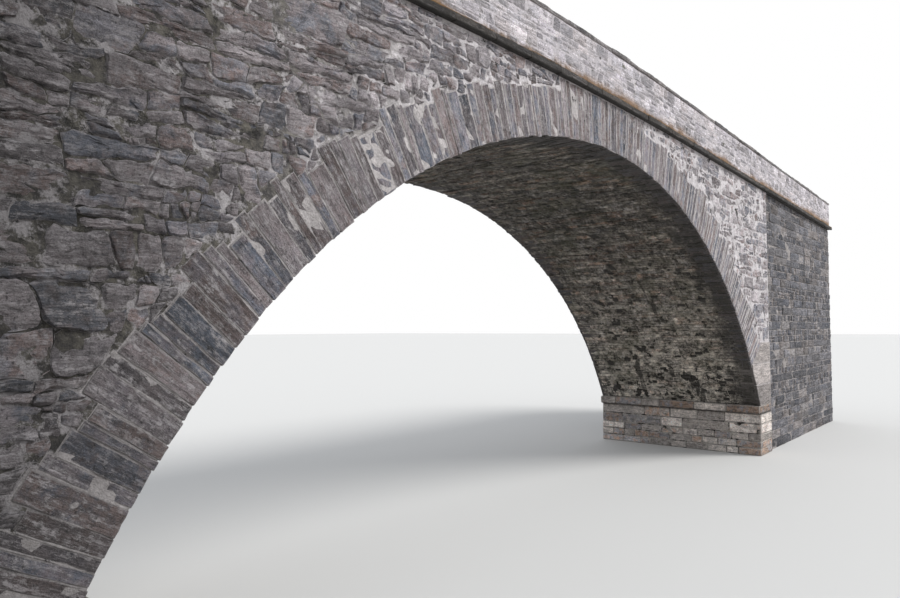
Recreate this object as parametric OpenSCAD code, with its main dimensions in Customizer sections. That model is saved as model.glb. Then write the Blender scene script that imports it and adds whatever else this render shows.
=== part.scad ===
// Single span stone arch bridge: rubble walls over a segmental arch of thin slabs.
// Millimetres, +X along the road, -Y the face that is seen, +Z up, base on Z = 0.

/* [Arch] */
// Clear span between the springing faces
span = 18000; // [15000:100:21000]
// Rise of the soffit from the springing to the crown
rise = 5480; // [4600:20:6200]
// Depth of the face ring over the crown, from soffit to the backs of its slabs
ring_t = 800; // [700:10:1000]
// Depth of the longest slabs of the left haunch
haunch_left_t = 930; // [850:10:1000]
// Depth of the longest slabs of the right haunch
haunch_right_t = 1120; // [900:10:1200]
// Depth of the shortest slabs of both haunches
short_t = 740; // [650:10:800]
// How far the slabs differ from the cut line of their cluster
uneven = 40; // [10:5:60]
// Mean thickness of a slab of the left haunch
slab_left_t = 170; // [120:5:240]
// Mean thickness of a slab over the crown
slab_crown_t = 140; // [110:5:200]
// Mean thickness of a slab of the right haunch
slab_right_t = 130; // [100:5:200]
// Angle taken by a cluster of slabs whose backs are cut along one line
cluster_a = 4.5; // [2:0.1:7]
// Angle from the crown within which the backs stay level
level_a = 8; // [4:1:12]
// Width of the face ring across the bridge
ring_w = 600; // [450:10:800]
// Thickness of the vault between the two face rings
barrel_t = 600; // [400:10:640]
// Angle taken by the low springer under the left foot of each ring
springer_left_a = 2; // [1:0.25:4]
// Angle taken by the smooth springer under the right foot of each ring
springer_right_a = 7.5; // [5:0.5:10]
// Angle from the crown to the joint between crown and haunch
crown_a = 21; // [16:1:26]

/* [Abutment] */
// Height of the springing above the lowest course
spring_h = 1400; // [1100:10:2500]
// Width of the abutment from the springing face to the straight joint
abut_w = 1030; // [950:10:1600]
// Height of the projecting impost course
impost_top_h = 230; // [150:10:300]
// How far the impost course stands out into the opening
impost_out = 80; // [20:5:150]
// Height of the two dressed courses below the impost course
plinth_h = 570; // [400:10:700]

/* [Walls] */
// Width of the bridge over its side walls
bridge_w = 4830; // [4200:10:6000]
// Length from the middle of the bridge to each end
half_l = 18400; // [14000:100:19500]
// How far the wing walls stand back from the face
wing_set = 60; // [20:5:150]
// Thickness of the cross walls that close the ends
end_t = 600; // [400:10:800]
// Rubble over the ring at the crown, below the string course
cover = 90; // [40:5:300]

/* [Road and parapets] */
// Thickness of the string course and of the road surface beside it
string_t = 125; // [90:5:200]
// How far the string course stands out from the face
string_out = 110; // [50:5:160]
// Thickness of the parapet
parapet_t = 400; // [300:10:500]
// Height of the parapet between string course and coping
parapet_h = 850; // [600:10:1100]
// Thickness of the coping slabs
coping_t = 90; // [60:5:150]
// How far the coping overhangs the parapet on each side
coping_out = 30; // [10:5:60]
// Length of the rounded crest of the road to each side of the middle
crest_l = 4000; // [2000:100:8000]
// Fall of the road beyond the crest, as height over length
grade = 0.026; // [0.01:0.002:0.06]

/* [Hidden] */
$fn = 360;

// Arch geometry: one circle through both springings and the crown
half_span = span / 2;
soffit_r = (half_span * half_span + rise * rise) / (2 * rise);
centre_z = spring_h + rise - soffit_r;
spring_a = asin(half_span / soffit_r);
toe_r = soffit_r - ring_t / 2;
joint_x = half_span + abut_w;
far_r = 2 * soffit_r;

// Place at an angle from the crown, and at a distance from the arc's centre
function at(angle, r) = [r * sin(angle), centre_z + r * cos(angle)];

// Where the ring stands on its springer, and the inner and outer ends of that bed
function top_a(right) = spring_a - (right ? springer_right_a : springer_left_a);
function haunch_t(right) = right ? haunch_right_t : haunch_left_t;
function toe(right) = at(top_a(right), toe_r);
function heel(right) = at(top_a(right), soffit_r + haunch_t(right));

// Joints between the three stretches of a ring, from the left springer to the right one
joints_a = [-top_a(false), -crown_a, crown_a, top_a(true)];

// The slabs differ by sines of whole degrees that fall out of step with one another
thick_swing = [0.35, 0.25];
thick_step = [143, 67];
back_step = 61;
cluster_swing = 0.3;
cluster_step = 17;
stretch_seed = 40;
back_face_seed = 90;

function seed(front, stretch) = stretch_seed * stretch + (front ? 0 : back_face_seed);

// Thickness of a slab as a share of the mean
function thick(i, seed) =
    1 + thick_swing[0] * sin(thick_step[0] * i + seed) + thick_swing[1] * sin(thick_step[1] * i);

// Where each of n slabs begins, counted in mean thicknesses, and where the last ends
function beds(n, seed) = [for (i = 0, sum = 0; i <= n; sum = sum + thick(i, seed), i = i + 1) sum];

// Distance from the arc's centre to the back of a slab: each cluster of slabs is cut along a
// line that lies nearer to level than the ring does, so its slabs lengthen towards the foot
function back_r(angle, i, seed) =
    let (ragged = max(0, min(1, (abs(angle) - level_a) / (crown_a - level_a))),
         clusters = abs(angle) / cluster_a + cluster_swing * sin(cluster_step * abs(angle) + seed),
         along = clusters - floor(clusters),
         cut = short_t + along * (haunch_t(angle > 0) - short_t))
    soffit_r + ring_t + ragged * (cut - ring_t) - uneven * (1 - sin(back_step * i + seed)) / 2;

// Stepped line along the backs of the slabs of one stretch
function backs(front, stretch) =
    let (first = joints_a[stretch],
         opening = joints_a[stretch + 1] - first,
         slab_t = [slab_left_t, slab_crown_t, slab_right_t][stretch],
         n = round(opening * PI / 180 * soffit_r / slab_t),
         seed = seed(front, stretch),
         bed = beds(n, seed))
    [for (i = [0 : n - 1])
        let (a0 = first + opening * bed[i] / bed[n],
             a1 = first + opening * bed[i + 1] / bed[n],
             r = back_r((a0 + a1) / 2, i, seed))
        each [at(a0, r), at(a1, r)]];

// Levels and faces
string_z = spring_h + rise + ring_t + cover;
face_y = bridge_w / 2;
inner_y = face_y - ring_w;
kerb_y = face_y - parapet_t;
crest_steps = 8;

// Fall of the road at a distance from the middle: a crest, then an even slope
function drop(x) =
    x <= crest_l ? grade * x * x / (2 * crest_l)
    : grade * (x - crest_l / 2);

// Points along the crest and the slope, from one distance to a farther one
function line_at(z, x0, x1) =
    let (xs = [for (i = [0 : crest_steps]) let (x = i * crest_l / crest_steps)
                   if (x > x0 && x < x1) x])
    [for (x = concat([x0], xs, [x1])) [x, z - drop(x)]];

function turned(points) = [for (i = [len(points) - 1 : -1 : 0]) points[i]];

// The same line from the left end over the crest to the right end
function line_over(z) =
    concat([for (p = turned(line_at(z, 0, half_l))) if (p[0] > 0) [-p[0], p[1]]],
           line_at(z, 0, half_l));

// A profile in X and Z stretched across the bridge between two values of Y
module across(y0, y1) {
    translate([0, y1, 0])
    rotate([90, 0, 0])
    linear_extrude(height = y1 - y0)
    children();
}

// What is drawn for the right end, put at the right or at the left
module at_end(right) {
    if (right) children();
    else mirror([1, 0, 0]) children();
}

// What is drawn for the front face, put at the front or at the back
module at_face(front) {
    if (front) children();
    else mirror([0, 1, 0]) children();
}

// Band that follows the road between two heights above the string course's bed
module band(x0, x1, low, high) {
    polygon(concat(line_at(string_z + low, x0, x1),
                   turned(line_at(string_z + high, x0, x1))));
}

// Slice of a disc about the arc's centre, between two angles from the crown
module slice(a0, a1, r) {
    mid_a = (a0 + a1) / 2;
    translate([0, centre_z])
    intersection() {
        circle(r = r);
        polygon([[0, 0],
                 far_r * [sin(a0), cos(a0)],
                 far_r * [sin(mid_a), cos(mid_a)],
                 far_r * [sin(a1), cos(a1)]]);
    }
}

// What is under the arch, taken out of all that bears on the soffit
module void_below(r) {
    difference() {
        children();
        translate([0, centre_z]) circle(r = r);
    }
}

// Rubble base under the dressed courses
module footing(right) {
    color("#8a8078")
    at_end(right)
    across(-face_y, face_y)
    translate([half_span, 0])
    square([abut_w, spring_h - impost_top_h - plinth_h]);
}

// Two dressed courses, flush with the springing face
module plinth(right) {
    color("#8d7a68")
    at_end(right)
    across(-face_y, face_y)
    translate([half_span, spring_h - impost_top_h - plinth_h])
    square([abut_w, plinth_h]);
}

// Impost course that carries the arch and stands out a little
module impost(right) {
    color("#9a8d80")
    at_end(right)
    across(-face_y, face_y)
    translate([half_span - impost_out, spring_h - impost_top_h])
    square([abut_w + impost_out, impost_top_h]);
}

// Foot of the arch, with a level bed behind it
module foot_outline(right) {
    polygon([toe(right), heel(right), [joint_x, heel(right)[1]], [joint_x, spring_h],
             [half_span - ring_t / 2, spring_h]]);
}

// Springer at the foot of a face ring: one smooth stone, low at the left foot
module springer(front, right) {
    color("#c2b8b4")
    at_end(right)
    at_face(front)
    across(-face_y, -inner_y)
    void_below(soffit_r)
    foot_outline(right);
}

// Stretch of the face ring of thin slabs set on edge, whose backs end in a ragged line
module ring(front, stretch) {
    color("#b3a8a4")
    at_face(front)
    across(-face_y, -inner_y)
    void_below(soffit_r)
    polygon(concat([at(joints_a[stretch], toe_r)],
                   backs(front, stretch),
                   [at(joints_a[stretch + 1], toe_r)]));
}

// The whole ring, run on below its two beds so that the wall over it is cut clean
module ring_outline(front) {
    polygon(concat([at(-spring_a, toe_r)],
                   [for (stretch = [0 : 2]) each backs(front, stretch)],
                   [at(spring_a, toe_r)]));
}

// Vault between the face rings, down to its foot on the impost course
module barrel_haunch(right) {
    color("#6f675c")
    at_end(right)
    union() {
        across(-inner_y, inner_y)
        void_below(soffit_r)
        slice(crown_a, (top_a(right) + spring_a) / 2, soffit_r + barrel_t);

        across(-inner_y, inner_y)
        void_below(soffit_r)
        foot_outline(right);
    }
}

module barrel_crown() {
    color("#645c52")
    across(-inner_y, inner_y)
    void_below(soffit_r)
    slice(-crown_a, crown_a, soffit_r + barrel_t);
}

// What lies over the arch, from the springer's bed and a foot behind it to the string course
module over_arch(right, foot) {
    polygon(concat([[0, toe(right)[1]], toe(right), heel(right)],
                   foot,
                   turned(line_at(string_z, 0, foot[len(foot) - 1][0]))));
}

// Random rubble wall scribed to the ragged backs of the ring
module spandrel(front, right) {
    color("#b9b0b3")
    at_end(right)
    at_face(front)
    across(-face_y, -inner_y)
    void_below(soffit_r)
    difference() {
        over_arch(right, [[joint_x, heel(right)[1]]]);
        mirror([right ? 0 : 1, 0]) ring_outline(front);
    }
}

// Squared rubble wing wall beyond the straight joint
module wing(front, right) {
    color("#6c6a70")
    at_end(right)
    at_face(front)
    across(-face_y + wing_set, -inner_y)
    polygon(concat([[joint_x, 0], [half_l, 0]],
                   turned(line_at(string_z, joint_x, half_l))));
}

// Cross wall that closes the end between the wing walls
module end_wall(right) {
    color("#77747a")
    at_end(right)
    across(-inner_y, inner_y)
    polygon(concat([[half_l - end_t, 0], [half_l, 0]],
                   turned(line_at(string_z, half_l - end_t, half_l))));
}

// Rubble filling over the vault and behind the abutment
module fill(right) {
    color("#7d7163")
    at_end(right)
    across(-inner_y, inner_y)
    void_below(soffit_r + barrel_t)
    over_arch(right, [[joint_x, heel(right)[1]], [joint_x, 0], [half_l - end_t, 0]]);
}

// Surface between the parapets, laid to the same fall as the string course
module roadway() {
    color("#8b8780")
    across(-kerb_y, kerb_y)
    polygon(concat(line_over(string_z), turned(line_over(string_z + string_t))));
}

// Projecting slab course that carries the parapet
module string_course(front, right) {
    color("#7b7064")
    at_end(right)
    at_face(front)
    across(-face_y - string_out, -kerb_y)
    band(0, half_l, 0, string_t);
}

// Fine rubble parapet
module parapet(front, right) {
    color("#b4adb4")
    at_end(right)
    at_face(front)
    across(-face_y, -kerb_y)
    band(0, half_l, string_t, string_t + parapet_h);
}

// Thin coping slabs
module coping(front, right) {
    color("#8f8b90")
    at_end(right)
    at_face(front)
    across(-face_y - coping_out, -kerb_y + coping_out)
    band(0, half_l, string_t + parapet_h, string_t + parapet_h + coping_t);
}

footing(false);  // footing_left
footing(true);  // footing_right
plinth(false);  // plinth_left
plinth(true);  // plinth_right
impost(false);  // impost_left
impost(true);  // impost_right
springer(true, false);  // springer_front_left
springer(true, true);  // springer_front_right
springer(false, false);  // springer_back_left
springer(false, true);  // springer_back_right
ring(true, 0);  // ring_front_left
ring(true, 1);  // ring_front_crown
ring(true, 2);  // ring_front_right
ring(false, 0);  // ring_back_left
ring(false, 1);  // ring_back_crown
ring(false, 2);  // ring_back_right
barrel_haunch(false);  // barrel_left
barrel_crown();
barrel_haunch(true);  // barrel_right
spandrel(true, false);  // spandrel_front_left
spandrel(true, true);  // spandrel_front_right
spandrel(false, false);  // spandrel_back_left
spandrel(false, true);  // spandrel_back_right
wing(true, false);  // wing_front_left
wing(true, true);  // wing_front_right
wing(false, false);  // wing_back_left
wing(false, true);  // wing_back_right
end_wall(false);  // end_wall_left
end_wall(true);  // end_wall_right
fill(false);  // fill_left
fill(true);  // fill_right
roadway();
string_course(true, false);  // string_front_left
string_course(true, true);  // string_front_right
string_course(false, false);  // string_back_left
string_course(false, true);  // string_back_right
parapet(true, false);  // parapet_front_left
parapet(true, true);  // parapet_front_right
parapet(false, false);  // parapet_back_left
parapet(false, true);  // parapet_back_right
coping(true, false);  // coping_front_left
coping(true, true);  // coping_front_right
coping(false, false);  // coping_back_left
coping(false, true);  // coping_back_right
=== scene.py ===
import math
import random

import bmesh
import bpy
from mathutils import Matrix, Vector, noise


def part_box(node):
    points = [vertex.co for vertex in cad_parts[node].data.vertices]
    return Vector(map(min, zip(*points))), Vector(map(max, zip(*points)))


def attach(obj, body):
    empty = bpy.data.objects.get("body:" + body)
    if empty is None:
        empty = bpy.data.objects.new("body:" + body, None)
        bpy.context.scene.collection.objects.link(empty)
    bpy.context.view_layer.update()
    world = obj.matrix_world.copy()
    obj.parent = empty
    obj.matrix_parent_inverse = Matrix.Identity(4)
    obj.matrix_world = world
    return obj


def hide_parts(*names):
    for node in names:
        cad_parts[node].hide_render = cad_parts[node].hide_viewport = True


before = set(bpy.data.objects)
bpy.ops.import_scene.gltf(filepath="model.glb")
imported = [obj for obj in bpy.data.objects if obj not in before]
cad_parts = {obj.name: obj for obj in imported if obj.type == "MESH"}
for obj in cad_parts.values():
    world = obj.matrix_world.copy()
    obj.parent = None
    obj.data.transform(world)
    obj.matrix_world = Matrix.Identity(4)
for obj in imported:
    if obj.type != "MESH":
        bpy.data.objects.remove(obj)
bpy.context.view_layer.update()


# The abutments carry the arch: a rubble base, two dressed courses and an impost course of long
# blocks that stands out a little. The blocks are bedded in lime mortar, with edges worn round.
class Wire:
    """A value or colour in a material, with arithmetic that adds Math nodes."""

    def __init__(self, paint, socket):
        self.paint = paint
        self.socket = socket

    def math(self, operation, first, second):
        return self.paint.node("ShaderNodeMath", {"operation": operation}, {0: first, 1: second})

    def __add__(self, other):
        return self.math("ADD", self, other)

    def __sub__(self, other):
        return self.math("SUBTRACT", self, other)

    def __rsub__(self, other):
        return self.math("SUBTRACT", other, self)

    def __mul__(self, other):
        return self.math("MULTIPLY", self, other)

    def __abs__(self):
        return self.math("ABSOLUTE", self, 0.0)

    def most(self, other):
        return self.math("MAXIMUM", self, other)

    __radd__ = __add__
    __rmul__ = __mul__


class Paint:
    def __init__(self, name, world=None):
        self.material = world or bpy.data.materials.new(name)
        self.material.use_nodes = True
        self.tree = self.material.node_tree
        self.shader = self.tree.nodes.get("Principled BSDF")
        self.place = self.node("ShaderNodeTexCoord", {}, {}, "Object")

    def node(self, kind, settings, sockets, output=0):
        made = self.tree.nodes.new(kind)
        for key, value in settings.items():
            if key == "ramp":
                while len(made.color_ramp.elements) < len(value):
                    made.color_ramp.elements.new(0.5)
                for element, (position, colour) in zip(made.color_ramp.elements, value):
                    element.position = position
                    element.color = (*colour, 1.0)
            else:
                setattr(made, key, value)
        for key, value in sockets.items():
            if isinstance(value, Wire):
                self.tree.links.new(value.socket, made.inputs[key])
            elif made.inputs[key].type == "RGBA":
                made.inputs[key].default_value = (*value, 1.0)
            else:
                made.inputs[key].default_value = value
        return Wire(self, made.outputs[output])

    def noise(self, scale, detail=4.0, rough=0.6, place=None):
        return self.node("ShaderNodeTexNoise", {}, {"Vector": place or self.place, "Scale": scale,
                                                    "Detail": detail, "Roughness": rough})

    def stretched(self, place, x, y, z):
        """A place scaled by axis, for streaks and beds."""
        return self.node("ShaderNodeMapping", {}, {"Vector": place, "Scale": (x, y, z)})

    def plain(self, colour):
        """A colour as a wire, to be shaded."""
        return self.mix(0.0, colour, colour)

    def step(self, value, low, high):
        """0 below low, 1 above high, and an even slope between them."""
        return self.node("ShaderNodeMapRange", {}, {"Value": value, "From Min": low, "From Max": high})

    def mix(self, factor, first, second):
        return self.node("ShaderNodeMix", {"data_type": "RGBA"}, {0: factor, 6: first, 7: second}, 2)

    def shade(self, colour, factor):
        """A colour times a value."""
        return self.node("ShaderNodeVectorMath", {"operation": "SCALE"}, {0: colour, "Scale": factor})

    def axis(self, letter, vector=None):
        return self.node("ShaderNodeSeparateXYZ", {}, {0: vector or self.place}, letter)

    def facing(self, letter):
        """How far the surface faces along an axis, from -1 to 1."""
        return self.axis(letter, self.node("ShaderNodeNewGeometry", {}, {}, "Normal"))

    def tone(self, channel):
        """What each stone carries of its own: its colour, its brightness, and the mark of a hole."""
        tone = self.node("ShaderNodeAttribute", {"attribute_name": "tone"}, {}, "Color")
        return self.node("ShaderNodeSeparateColor", {}, {0: tone}, channel)

    def finish(self, colour, roughness, height, depth):
        """Base colour, roughness, and a bump of the given depth in metres."""
        bump = self.node("ShaderNodeBump", {}, {"Distance": depth, "Height": height})
        for name, wire in (("Base Color", colour), ("Roughness", roughness), ("Normal", bump)):
            self.tree.links.new(wire.socket, self.shader.inputs[name])
        return self.material


# Where the painted shade and damp on the left are full, and where they end.
darkest_x = -10.2
darkening_end_x = -5.4
damp_and_shade_black = (0.022, 0.019, 0.016)
joint_shade_and_damp_black = (0.02, 0.017, 0.014)
lichen_grey = (0.54, 0.515, 0.535)


def left_damp_and_shade(paint, share):
    """Darkens towards the left haunch: partly damp that stays there, partly painted shade."""
    return paint.step(paint.axis("X"), darkest_x, darkening_end_x) * share + (1.0 - share)


def stone_paint(name, palette, mortar, lichen=0.5, damp=0.3, left=0.0, place=None, marks=None):
    """Stones in several colours: each has its own tone, then beds, grain, lichen and damp.
    The mortar that was smeared over their edges when the joints were pointed is still on them."""
    paint = Paint(name)
    where = place(paint) if place else paint.place
    edge = paint.node("ShaderNodeAttribute", {"attribute_name": "edge"}, {}, "Fac")
    stops = [(i / (len(palette) - 1), c) for i, c in enumerate(palette)]
    wander = paint.tone(0) + (paint.noise(4.0, 6.0, 0.7) - 0.5)
    colour = paint.node("ShaderNodeValToRGB", {"ramp": stops}, {0: wander})
    grain = paint.noise(80.0, 5.0, 0.8)
    beds = paint.noise(6.0, 8.0, 0.8, paint.stretched(where, 0.4, 1.0, 2.8))
    streaks = paint.noise(9.0, 9.0, 0.85, paint.stretched(where, 0.35, 1.0, 2.2))
    # Painted shade with damp: the stone darkens towards the left by the share left.
    dim = left_damp_and_shade(paint, left)
    # Painted shade, with the stone's own banding: the beds and grain that raise the bump also darken
    # its hollows and lighten its ridges.
    colour = paint.shade(colour, (paint.tone(1) * 0.9 + 0.55) * (beds * 3.4 - 0.7) * dim)
    colour = paint.shade(colour, (grain * 3.0 - 0.5) * (streaks * 3.0 - 0.48))
    lumps = paint.noise(17.0, 7.0, 0.75)
    patch = paint.step(paint.noise(1.7, 5.0, 0.65), 0.40, 0.60)
    crust = paint.step(streaks + (lumps - 0.5) * 0.6, 0.49, 0.58) * (patch * 0.7 + 0.3) * lichen
    colour = paint.mix(crust, colour, paint.shade(paint.plain(lichen_grey), dim * 0.45 + 0.55))
    stains = paint.step(paint.noise(5.5, 8.0, 0.8), 0.54, 0.62)
    # Pits are darkened and sunk in the bump: partly dark specks, partly painted shade in the hollows.
    pits = paint.step(paint.noise(30.0, 5.0, 0.7), 0.60, 0.66)
    colour = paint.shade(colour, (1.0 - pits * 0.65) * (1.0 - stains * 0.5))
    smeared = paint.step(edge * 0.9 + lumps * 1.1 + paint.noise(2.2) * 0.8, 1.66, 1.82)
    pointing = paint.shade(paint.plain(mortar), (lumps * 1.3 + 0.35) * dim)
    colour = paint.mix(smeared * 0.85, colour, pointing)
    seeps = paint.noise(1.0, 6.0, 0.7, paint.stretched(where, 1.6, 1.6, 0.5))
    damp_and_shade = paint.step(seeps, 0.52, 0.66) * damp
    if marks:
        colour, damp_and_shade = marks(paint, where, colour, damp_and_shade)
    # Damp, and painted shade that the marks bring, darken the colour towards near black.
    colour = paint.mix(damp_and_shade, colour, damp_and_shade_black)
    height = grain * 0.35 + beds * 1.1 + lumps * 0.7 + crust * 0.3 - pits * 0.4
    return paint.finish(colour, 0.94 - damp_and_shade * 0.3, height, 0.045)


def mortar_paint(name, pale, open_share, left=0.0, green=0.3, marks=None):
    """Lime mortar, pale where it is whole, and painted near black where a joint has opened, as painted
    shade in the open joint.
    """
    paint = Paint(name)
    lumps = paint.noise(17.0, 7.0, 0.75)
    colour = paint.mix(paint.noise(1.3), tuple(c * 0.7 for c in pale), pale)
    colour = paint.shade(colour, (lumps * 1.3 + 0.35) * (paint.noise(4.5, 7.0, 0.8) * 1.6 + 0.2))
    moss = paint.step(paint.noise(4.3, 5.0, 0.7), 0.60, 0.70) * green
    colour = paint.mix(moss, colour, (0.13, 0.12, 0.05))
    # Painted shade: where a joint has opened the mortar is painted near black and sunk in the bump.
    gaps = paint.noise(3.6, 6.0, 0.75)
    opened = paint.step(gaps, 0.66 - open_share * 0.2, 0.70 - open_share * 0.2)
    colour = paint.mix(opened, colour, joint_shade_and_damp_black)
    damp_and_shade = opened * 0.1
    if marks:
        colour, damp_and_shade = marks(paint, paint.place, colour, damp_and_shade)
        # Damp and painted shade that the marks bring darken the mortar too.
        colour = paint.mix(damp_and_shade, colour, joint_shade_and_damp_black)
    # Painted shade with damp: the mortar darkens towards the left.
    if left:
        colour = paint.shade(colour, left_damp_and_shade(paint, left))
    return paint.finish(colour, 0.96 - damp_and_shade, lumps + paint.noise(45.0) * 0.4 - opened, 0.04)


def finish_nodes(material, *starts):
    """Gives the CAD nodes whose names start so their finish: here the mortar between the stones."""
    for name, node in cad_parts.items():
        if name.startswith(starts):
            node.data.materials.clear()
            node.data.materials.append(material)


def new_stones():
    """An empty mesh whose faces carry a stone's tone, and whose points tell how near its edge is."""
    bm = bmesh.new()
    bm.faces.layers.float_color.new("tone")
    bm.verts.layers.float.new("edge")
    return bm


noise.seed_set(5)
scratch = bpy.data.meshes.new("scratch")


def split_long_edges(bm, cell, passes, fill):
    """Halves the edges that are longer than a cell, to give a stone points to be rough with."""
    for _ in range(passes):
        long_edges = [e for e in bm.edges if e.calc_length() > cell]
        if long_edges:
            bmesh.ops.subdivide_edges(bm, edges=long_edges, cuts=1, use_grid_fill=fill)


def roughen(verts, rng, coarse, fine, rough):
    """Moves points about by noise of two sizes, as the face of a split stone wanders."""
    shift = Vector([rng.uniform(-90.0, 90.0) for _ in range(3)])
    for v in verts:
        v.co += noise.noise_vector(v.co * coarse + shift) * rough
        v.co += noise.noise_vector(v.co * fine + shift) * rough * 0.7


def block(bm, rng, low, high, shape, cell, edge, rough):
    """Adds one worn block between two corners; shape moves its points to their place."""
    one = new_stones()
    near = one.verts.layers.float["edge"]
    span = Vector(high) - Vector(low)
    bmesh.ops.create_cube(one, size=1.0)
    bmesh.ops.scale(one, vec=span, verts=one.verts)
    bmesh.ops.translate(one, vec=(Vector(low) + Vector(high)) / 2, verts=one.verts)
    bmesh.ops.bevel(one, geom=one.edges[:], offset=min(edge, min(span) * 0.25), segments=1,
                    affect="EDGES", profile=0.5, material=-1)
    one.normal_update()
    sides = [f for f in one.faces if max(map(abs, f.normal)) > 0.9]
    bmesh.ops.inset_individual(one, faces=sides, thickness=min(0.03, min(span) * 0.15))
    inner = {v for f in sides for v in f.verts}
    for v in one.verts:
        v[near] = 0.0 if v in inner else 1.0
    split_long_edges(one, cell, 3, True)
    roughen(one.verts, rng, 4.0, 15.0, rough)
    if shape:
        for v in one.verts:
            v.co = shape(v.co)
    tone = (rng.random(), rng.random(), 0.0, 1.0)
    layer = one.faces.layers.float_color["tone"]
    for f in one.faces:
        f[layer] = tone
        f.smooth = True
    one.to_mesh(scratch)
    one.free()
    bm.from_mesh(scratch)


def put(name, data):
    """An object in the scene for a mesh, a light or the camera."""
    made = bpy.data.objects.new(name, data)
    bpy.context.scene.collection.objects.link(made)
    return made


def keep(bm, name, slot, material, *nodes, out=None):
    """Makes the stones one piece that stays where they are, and may stand for CAD nodes. An open
    coat of mortar is also told which way is out."""
    bmesh.ops.recalc_face_normals(bm, faces=bm.faces)
    if out and sum(f.normal.dot(out) for f in bm.faces) < 0:
        bmesh.ops.reverse_faces(bm, faces=bm.faces)
    mesh = bpy.data.meshes.new(name)
    bm.to_mesh(mesh)
    bm.free()
    mesh.set_sharp_from_angle(angle=math.radians(40))
    mesh.materials.append(material)
    piece = put(name, mesh)
    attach(piece, "root")
    if nodes:
        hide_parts(*nodes)


def under_impost(paint, where, colour, damp_and_shade):
    """The impost course is a little darker than the rest, and along the joint under it, where the
    course stands out, a black band is painted as painted shadow.
    """
    height = paint.axis("Z") - impost_z
    near = abs(height + (paint.noise(5.0) - 0.5) * 0.06)
    colour = paint.shade(colour, 1.0 - paint.step(height, 0.0, 0.02) * 0.15)
    # Painted shadow: near black along the impost's bed.
    return colour, damp_and_shade.most(paint.step(near, 0.05, 0.01) * 0.9)


impost_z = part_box("impost_right")[0].z
dressed = stone_paint("dressed_stone", [
    (0.46, 0.42, 0.39), (0.69, 0.625, 0.58), (0.78, 0.715, 0.67), (0.54, 0.49, 0.465),
    (0.60, 0.40, 0.28), (0.40, 0.405, 0.44), (0.64, 0.58, 0.545), (0.48, 0.435, 0.40)],
    (0.54, 0.50, 0.47), lichen=0.5, damp=0.25, marks=under_impost)
abutment_mortar = mortar_paint("abutment_mortar", (0.40, 0.37, 0.34), 0.8)
# Rows, shortest and longest block, and how far the blocks stand out, of each course.
courses = {"impost": (1, 0.55, 1.3, (0.03, 0.05)),
           "plinth": (2, 0.6, 1.5, (0.004, 0.02)),
           "footing": (3, 0.3, 0.7, (0.004, 0.02))}
end_out = 0.02
joint_half = 0.005
bed_under = 0.006
bed_over = 0.004
for side, out_x in (("left", 1), ("right", -1)):
    bm = new_stones()
    rng = random.Random(11)
    for name, (rows, short, long, proud) in courses.items():
        low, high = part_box(f"{name}_{side}")
        finish_nodes(abutment_mortar, f"{name}_{side}")
        tall = (high.z - low.z) / rows
        for row in range(rows):
            z = low.z + row * tall
            y = low.y
            while y < high.y:
                y1 = y + rng.uniform(short, long)
                if y1 > high.y - short * 0.6:
                    y1 = high.y
                out = rng.uniform(*proud)
                x_low = low.x - (out if out_x < 0 else 0.0)
                x_high = high.x + (out if out_x > 0 else 0.0)
                y_low = y - end_out if y == low.y else y + joint_half
                y_high = y1 + end_out if y1 == high.y else y1 - joint_half
                block(bm, rng, (x_low, y_low, z + bed_under), (x_high, y_high, z + tall - bed_over),
                      None, 0.25, 0.018, 0.008)
                y = y1
    keep(bm, f"abutment_stones_{side}", "dressed_stone", dressed)


# Each face of the arch is a ring of thin slabs set on edge, of uneven thickness. They are cut
# off behind in clusters, each along one line, so that their backs are ragged. Low springers
# carry the left foot and tall smooth ones the right. Pale ribs of mortar stand in the joints.
half_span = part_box("plinth_right")[0].x
spring_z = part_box("impost_right")[1].z
face_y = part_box("plinth_right")[1].y
joint_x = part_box("plinth_right")[1].x
string_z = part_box("spandrel_front_left")[1].z
# The named values that the solids of the arch and the road are built to.
rise = 5.48
ring_t = 0.8
haunch_t = {"left": 0.93, "right": 1.12}
short_t = 0.74
uneven = 0.04
slab_t = {"left": 0.17, "crown": 0.14, "right": 0.13}
crown_a = 21.0
level_a = 8.0
cluster_a = 4.5
springer_turn = {"left": 2.0, "right": 7.5}
soffit_r = (half_span ** 2 + rise ** 2) / (2 * rise)
centre_z = spring_z + rise - soffit_r
spring_a = math.degrees(math.asin(half_span / soffit_r))
half_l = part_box("roadway")[1].x
crest_l = 4.0
grade = 0.026


def fall(x):
    """Fall of the road at a distance from the middle: a rounded crest, then an even slope."""
    x = abs(x)
    return grade * x * x / (2 * crest_l) if x < crest_l else grade * (x - crest_l / 2)


def string_bed(x):
    """Height of the string course's bed, which falls with the road."""
    return string_z - fall(x)


def sine(degrees):
    return math.sin(math.radians(degrees))


def ring_slabs(face):
    """Start and end in degrees, and depth, of each slab of a ring: the rule that the part follows."""
    made = []
    stretches = (("left", springer_turn["left"] - spring_a, -crown_a), ("crown", -crown_a, crown_a),
                 ("right", crown_a, spring_a - springer_turn["right"]))
    for k, (name, first, last) in enumerate(stretches):
        count = round(math.radians(last - first) * soffit_r / slab_t[name])
        seed = 40 * k + (90 if face == "back" else 0)
        parts = [1 + 0.35 * sine(143 * i + seed) + 0.25 * sine(67 * i) for i in range(count)]
        start = first
        for i, part in enumerate(parts):
            end = start + part * (last - first) / sum(parts)
            turn = abs(start + end) / 2
            ragged = max(0.0, min(1.0, (turn - level_a) / (crown_a - level_a)))
            along = (turn / cluster_a + 0.3 * sine(17 * turn + seed)) % 1.0
            clustered = short_t + along * (haunch_t["left" if start < 0 else "right"] - short_t)
            worn = uneven * (1 - sine(61 * i + seed)) / 2
            made.append((name, start, end, ring_t + ragged * (clustered - ring_t) - worn))
            start = end
    return made


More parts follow.
